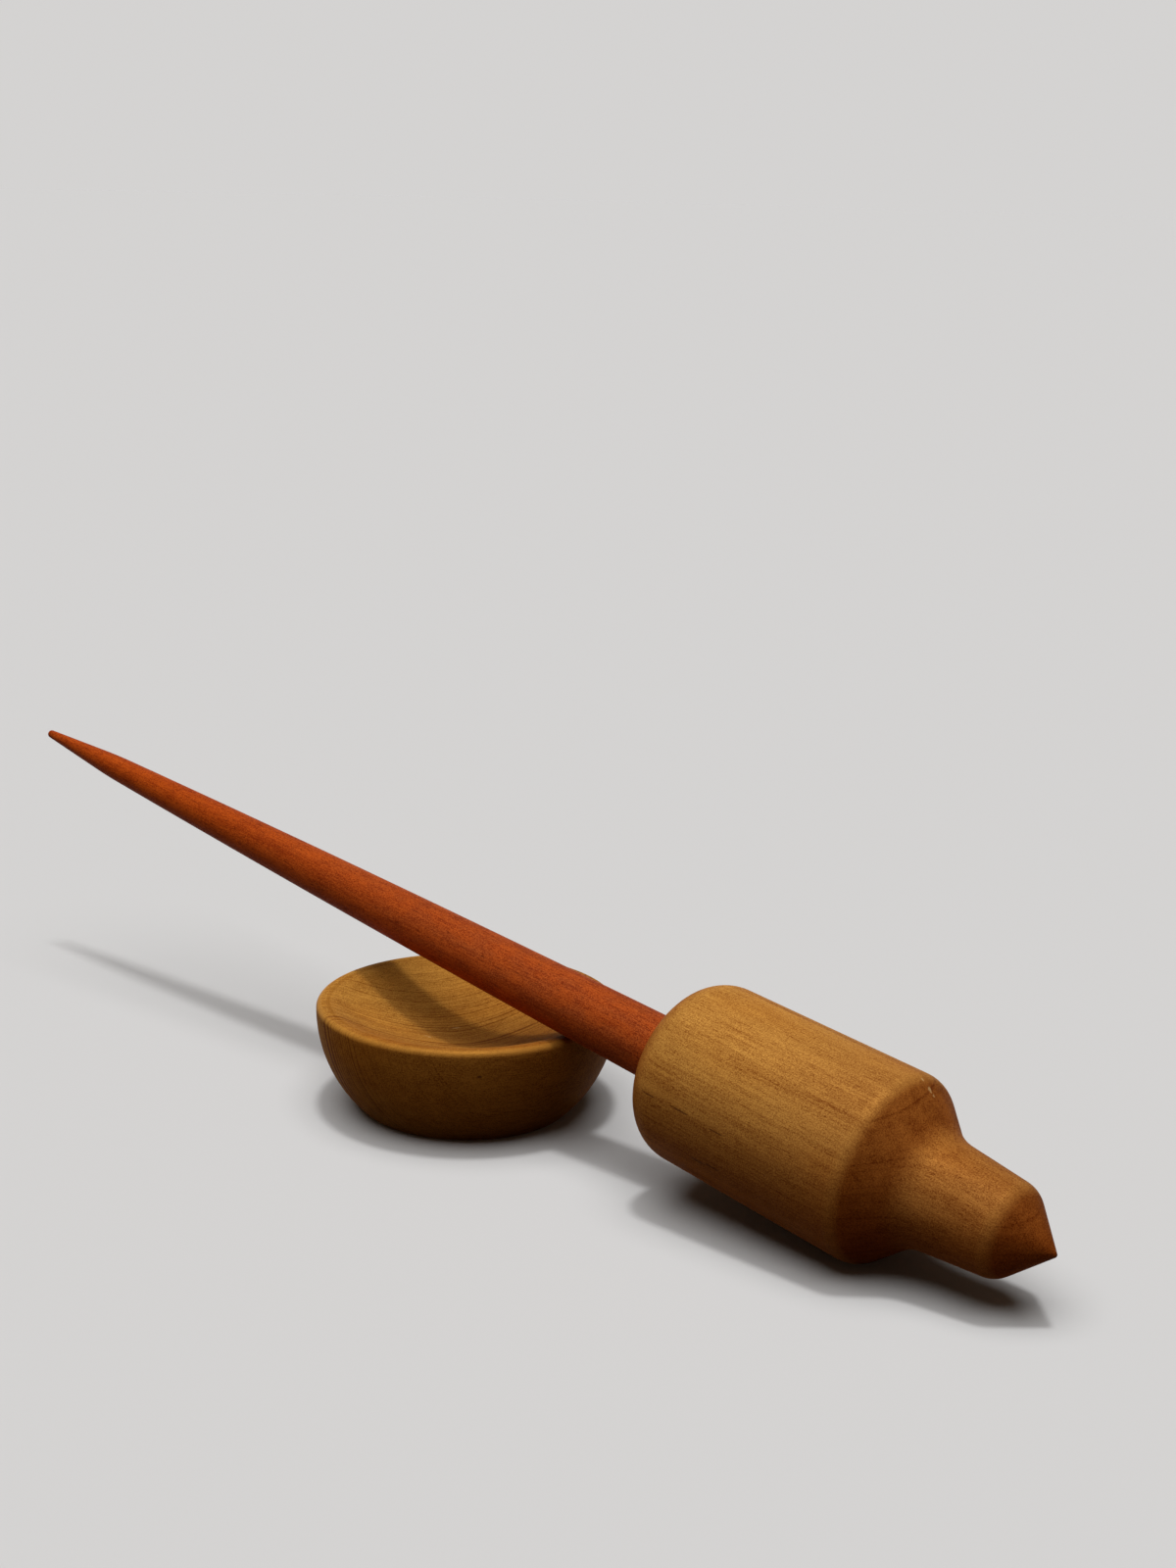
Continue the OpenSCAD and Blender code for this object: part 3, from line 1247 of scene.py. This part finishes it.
@dataclass
class Bowl:
    """Shallow dish with a soft lip, on a wall that curves in to a flat foot.

    Attributes:
        lip_line: Radii between which a line round the lip is made darker.
        dish_slope: Slope of the dish where it runs to its middle, before the pit rounds it off.
        grain_angle: Way of the fibres, as an angle from +X towards +Y.
        row_gap: Longest distance between rows.
        facets: Number of faces round the bowl.
    """

    bowl_d: float = 62.7 * MM
    bowl_h: float = 22.5 * MM
    wall_round: float = 28.3 * MM
    rim_round: float = 1.3 * MM
    lip_round: float = 7 * MM
    lip_line: tuple[float, float] = (29.4 * MM, 28.3 * MM)
    dish_depth: float = 9 * MM
    dish_slope: float = math.radians(6)
    pit_round: float = 20 * MM
    foot_round: float = 1 * MM
    grain_angle: float = math.radians(65)
    row_gap: float = 0.35 * MM
    facets: int = 288

    def outline(self) -> Outline:
        """Outline of the bowl, from the middle of its foot to the bottom of its dish."""
        rim = Vector((self.bowl_d / 2 - self.rim_round, self.bowl_h - self.rim_round))
        wall = Vector((self.bowl_d / 2 - self.wall_round, rim.y))
        foot_reach = math.sqrt((self.wall_round - self.foot_round) ** 2 - (wall.y - self.foot_round) ** 2)
        foot = Vector((wall.x + foot_reach, self.foot_round))
        wall_foot_angle = math.atan2(foot.y - wall.y, foot.x - wall.x)
        lip = Vector((rim.x, self.bowl_h - self.lip_round))
        dish_bottom = self.bowl_h - self.dish_depth
        drop = lip.y - dish_bottom
        way = Vector((math.sin(self.dish_slope), math.cos(self.dish_slope)))
        room = self.lip_round + drop * way.y - lip.x * way.x
        dish_round = (lip.x**2 + drop**2 - self.lip_round**2) / (2 * room)
        dish = Vector((-dish_round * way.x, dish_bottom + dish_round * way.y))
        lip_angle = math.atan2(dish.y - lip.y, dish.x - lip.x)
        pit = Vector((0, dish.y - math.sqrt((dish_round - self.pit_round) ** 2 - dish.x**2)))
        pit_angle = math.atan2(pit.y - dish.y, -dish.x)
        outline = Outline(self.row_gap)
        outline.line_to(0, 0)
        outline.arc(foot, self.foot_round, -math.pi / 2, wall_foot_angle, wear=0.5)
        outline.arc(wall, self.wall_round, wall_foot_angle, 0)
        # The rim's high wear lightens the lip as a painted highlight, besides making it glossier.
        outline.arc(rim, self.rim_round, 0, math.pi / 2, wear=1.8)
        # Wear below 0 makes a line round the lip darker.
        line = [math.pi / 2 + math.asin((rim.x - radius) / self.lip_round) for radius in self.lip_line]
        outline.arc(lip, self.lip_round, math.pi / 2, line[0])
        outline.arc(lip, self.lip_round, line[0], line[1], wear=-0.8)
        outline.arc(lip, self.lip_round, line[1], lip_angle)
        outline.arc(dish, dish_round, lip_angle - math.pi, pit_angle)
        outline.arc(pit, self.pit_round, pit_angle, -math.pi / 2)
        return outline

    def build(self, lathe: Lathe, wood: PaleWood) -> list[bpy.types.Object]:
        """Turns the bowl, dresses it and sets it on its body.

        Args:
            lathe: The lathe.
            wood: Wood of the bowl.

        Returns:
            The bowl, alone in a list.
        """
        fibres = Vector((math.cos(self.grain_angle), math.sin(self.grain_angle), 0))
        turn = Euler((0, math.pi / 2, self.grain_angle))
        # This pith also places the painted shade over the right part of the dish.
        grain = GrainLie(Vector((0, 0, 0)), turn, pith=(0.0, 74.0), clear_from=62.0, clear_to=84.0)
        streaks = [Mark(grain.locate((23.9, -19.8, 17.25)), across=0.35, along=0.6)]
        nicks = [
            Mark(grain.locate((-4.1, -6.9, 14.8)), across=0.35, along=0.6),
            Mark(grain.locate((-4.8, -7.3, 14.9)), across=0.25, along=0.4),
            Mark(grain.locate((-5.1, 1.9, 14.3)), across=0.25, along=1.1),
        ]
        finish = wood.material("pale_wood_bowl", grain, streaks, nicks)
        bowl = lathe.turn("turned_bowl", self.outline(), self.facets, fibres, Matrix.Identity(4), finish)
        settle(bowl, Body.BOWL, "bowl")
        return [bowl]


@dataclass
class Studio:
    """Pale floor, soft light from above and the camera that took the picture.

    Attributes:
        camera_place: Where the camera stands, in metres.
        azimuth: Way that it looks round the object.
        dip: Angle that it looks down.
        roll: Turn about its own line of sight.
        lens: Focal length in millimetres on a sensor of 36 mm along the picture's long side.
        floor_tone: Grey of the floor.
        floor_bounce: Grey of the floor for the light that it gives back to the object.
        ambient: Strength of the light from all round.
        warmth: Colour of that light, which has passed over wood and floor.
        soft: Strength of the wide lamp above.
        soft_spread: Its width as an angle.
        soft_tilt: How far it stands in front of the object, as an angle.
        key: Strength of the narrow lamp above, which draws the shadows.
        key_spread: Its width as an angle.
        floor_reach: Half the width of the floor, in metres.
        floor_roughness: How dull the floor is.
        clip: Nearest and farthest distance that the camera sees, in metres.
    """

    camera_place: Vector = Vector((0.33209, -0.32560, 0.18680))
    azimuth: float = math.radians(42.596)
    dip: float = math.radians(14.191)
    roll: float = math.radians(1.364)
    lens: float = 54.0
    floor_tone: float = 0.64
    floor_bounce: float = 0.07
    ambient: float = 0.055
    warmth: Colour = (1.0, 0.70, 0.48)
    soft: float = 2.1
    soft_spread: float = math.radians(60)
    soft_tilt: float = math.radians(10)
    key: float = 1.0
    key_spread: float = math.radians(7)
    floor_reach: float = 30.0
    floor_roughness: float = 0.9
    clip: tuple[float, float] = (0.01, 100.0)

    def build(self) -> list[bpy.types.Object]:
        """Makes the floor, the world, the lamps and the camera.

        Returns:
            The stage's objects.
        """
        floor = self._floor()
        self._world()
        soft = self._lamp("wide_lamp", self.soft, self.soft_spread, self.soft_tilt)
        key = self._lamp("narrow_lamp", self.key, self.key_spread)
        return [floor, soft, key, self._camera()]

    def _floor(self) -> bpy.types.Object:
        """A wide plain floor under the bowl."""
        mesh = bpy.data.meshes.new("floor")
        reach = self.floor_reach
        corners = [(-reach, -reach, 0), (reach, -reach, 0), (reach, reach, 0), (-reach, reach, 0)]
        mesh.from_pydata(corners, [], [range(len(corners))])
        material = bpy.data.materials.new("floor_paint")
        material.use_nodes = True
        graph = Graph(material.node_tree)
        bounce = [self.floor_bounce * share for share in self.warmth]
        tone = self._seen_or(graph, bounce, [self.floor_tone] * 3)
        paint = graph.node(
            "ShaderNodeBsdfPrincipled",
            None,
            {"Base Color": tone, "Roughness": self.floor_roughness, "Specular IOR Level": 0.0},
        )
        graph.node("ShaderNodeOutputMaterial", None, {"Surface": paint})
        mesh.materials.append(material)
        floor = bpy.data.objects.new("floor", mesh)
        bpy.context.scene.collection.objects.link(floor)
        return floor

    def _world(self) -> None:
        """Even light from all round; the camera and reflections see the tone that the lit floor has."""
        world = bpy.data.worlds.new("studio")
        world.use_nodes = True
        graph = Graph(world.node_tree)
        fill = [self.ambient * share for share in self.warmth]
        lamps = (self.soft * math.cos(self.soft_tilt) + self.key) / math.pi
        tone = self._seen_or(graph, fill, [self.floor_tone * (share + lamps) for share in fill])
        glow = graph.node("ShaderNodeBackground", None, {"Color": tone, "Strength": 1.0})
        graph.node("ShaderNodeOutputWorld", None, {"Surface": glow})
        bpy.context.scene.world = world

    @staticmethod
    def _seen_or(graph: Graph, given: Sequence[float], seen: Sequence[float]) -> Socket:
        """One colour for the light that falls on the object and one for what the camera sees.

        Args:
            graph: Graph of the floor's paint or of the world.
            given: Colour of the light that it gives to the object.
            seen: Colour that the camera sees, straight, in a reflection or through glass.

        Returns:
            The colour.
        """
        path = graph.node("ShaderNodeLightPath")
        watched = graph.math("MAXIMUM", path.out("Is Camera Ray"), path.out("Is Glossy Ray"))
        watched = graph.math("MAXIMUM", watched, path.out("Is Transmission Ray"))
        return graph.node(
            "ShaderNodeMix", {"data_type": "RGBA"}, {"Factor": watched, "A": (*given, 1.0), "B": (*seen, 1.0)}
        )

    @staticmethod
    def _lamp(name: str, strength: float, spread: float, tilt: float = 0.0) -> bpy.types.Object:
        """A far lamp above the object.

        Args:
            name: The lamp's name.
            strength: Its strength.
            spread: Its width as an angle.
            tilt: How far it stands in front of the object, as an angle.

        Returns:
            The lamp.
        """
        data = bpy.data.lights.new(name, "SUN")
        data.energy = strength
        data.angle = spread
        lamp = bpy.data.objects.new(name, data)
        lamp.rotation_euler = (tilt, 0, 0)
        bpy.context.scene.collection.objects.link(lamp)
        return lamp

    def _camera(self) -> bpy.types.Object:
        """The camera, at the picture's viewing angle."""
        data = bpy.data.cameras.new("camera")
        data.lens = self.lens
        data.clip_start, data.clip_end = self.clip
        camera = bpy.data.objects.new("camera", data)
        camera.matrix_world = (
            Matrix.Translation(self.camera_place)
            @ Matrix.Rotation(self.azimuth, 4, "Z")
            @ Matrix.Rotation(math.pi / 2 - self.dip, 4, "X")
            @ Matrix.Rotation(self.roll, 4, "Z")
        )
        bpy.context.scene.collection.objects.link(camera)
        bpy.context.scene.camera = camera
        return camera


def settle(piece: bpy.types.Object, body: Body, node: str) -> None:
    """Sets a piece on its body, in place of its solid.

    Args:
        piece: The piece.
        body: Body that it rides on.
        node: Name of the solid that it stands for.
    """
    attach(piece, body.value)
    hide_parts(node)


def main() -> None:
    """Builds the spindle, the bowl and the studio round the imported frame."""
    logging.basicConfig(level=logging.INFO, format="%(name)s: %(message)s")
    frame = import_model()
    lathe = Lathe()
    pieces = Spindle.on_joint(frame["joints"][0]).build(lathe, RedWood(), PaleWood())
    bowl_wood = PaleWood(
        light=(0.57, 0.274, 0.048),
        deep=(0.20, 0.057, 0.005),
        # Painted shade: the tint by distance from the pith darkens the dish's right part, on top of redder
        # wood.
        redder_wood_and_shade_tint=(0.75, 0.63, 0.52),
        redder_wood_and_shade_from=66.0,
        redder_wood_and_shade_to=100.0,
        # Painted shade: the tint along the grain darkens the far side of the dish.
        dark_end_and_shade_tint=(0.74, 0.66, 0.60),
        dark_end_from=26.0,
        dark_end_to=-14.0,
        end_tint=(0.80, 0.73, 0.62),
        end_from=0.5,
        end_to=1.0,
        ring_gap=0.95,
        ring_depth=0.9,
        wander=3.0,
        oil=Oil(lustre=0.06, gloss=0.015, tint=(1.0, 0.78, 0.40), roughness=0.5, relief=0.05 * MM),
    )
    pieces += Bowl().build(lathe, bowl_wood)
    for piece in pieces:
        LOG.info("%s with %d faces", piece.name, len(piece.data.polygons))
    for item in Studio().build():
        LOG.info("%s in the studio", item.name)
    bpy.context.scene.view_settings.view_transform = "Standard"


if __name__ == "__main__":
    main()
